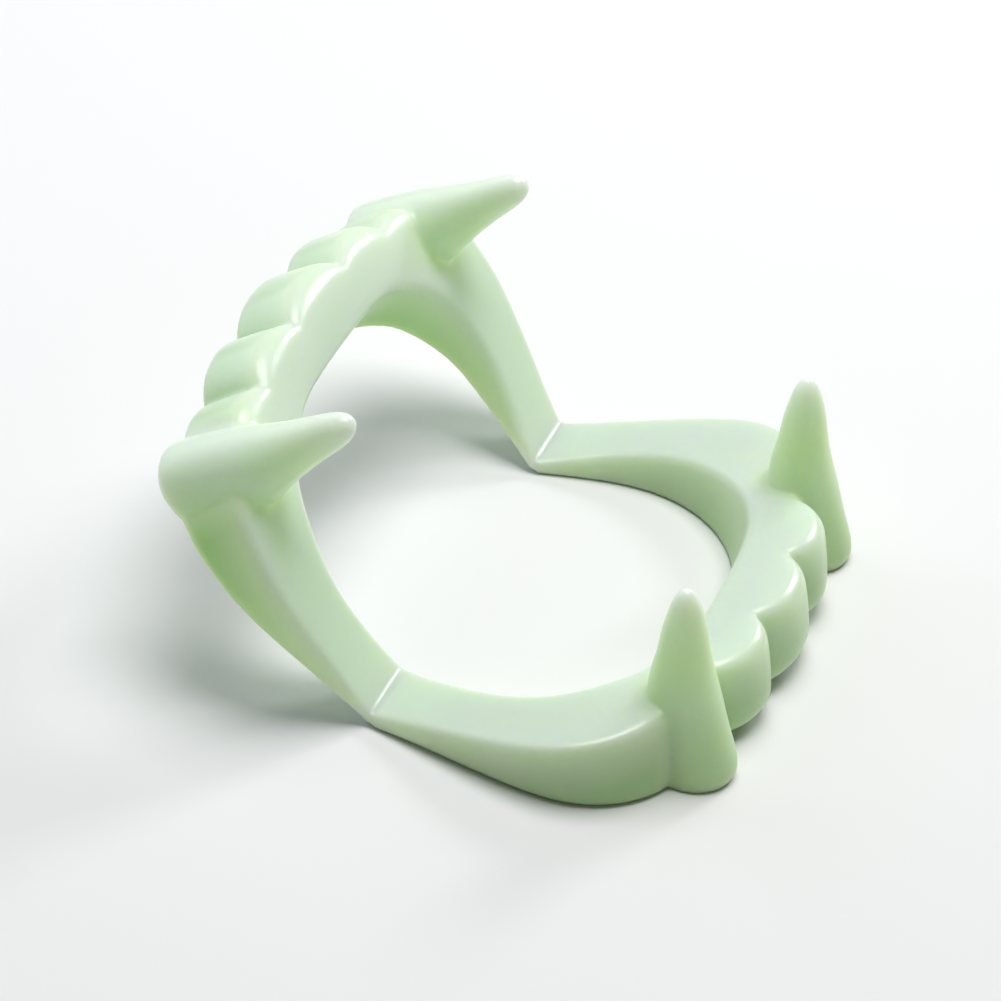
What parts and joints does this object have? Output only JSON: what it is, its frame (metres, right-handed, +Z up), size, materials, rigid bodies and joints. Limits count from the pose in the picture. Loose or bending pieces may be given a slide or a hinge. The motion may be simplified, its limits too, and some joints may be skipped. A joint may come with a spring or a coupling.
{
  "type": "vampire fang denture",
  "caption": "Costume fang denture: upper and lower horseshoe tooth arches with pointed fangs, moulded together and folding about a thin crease at the back of the arms.",
  "frame": {"origin": "middle of the footprint, on the surface that the lower arch's gum rim rests on", "axes": "+Z up; X along the fold line, from one arm to the other; +Y from the fold line to the lower arch's front teeth"},
  "size_m": [0.0608, 0.0576, 0.0294],
  "materials": {
    "glow_plastic": "soft moulded polyethylene with glow pigment, pale mint green, translucent, satin gloss"
  },
  "bodies": {
    "root": {"lower_arch": "glow_plastic"},
    "upper": {"upper_arch": "glow_plastic"}
  },
  "joints": [
    {"name": "jaw_hinge", "type": "hinge", "parent": "root", "child": "upper", "pos_m": [0, -0.00416, 0.00126], "axis": [1, 0, 0], "range_deg": [-75, 39], "stiffness_Nm_per_rad": 0.02}
  ]
}
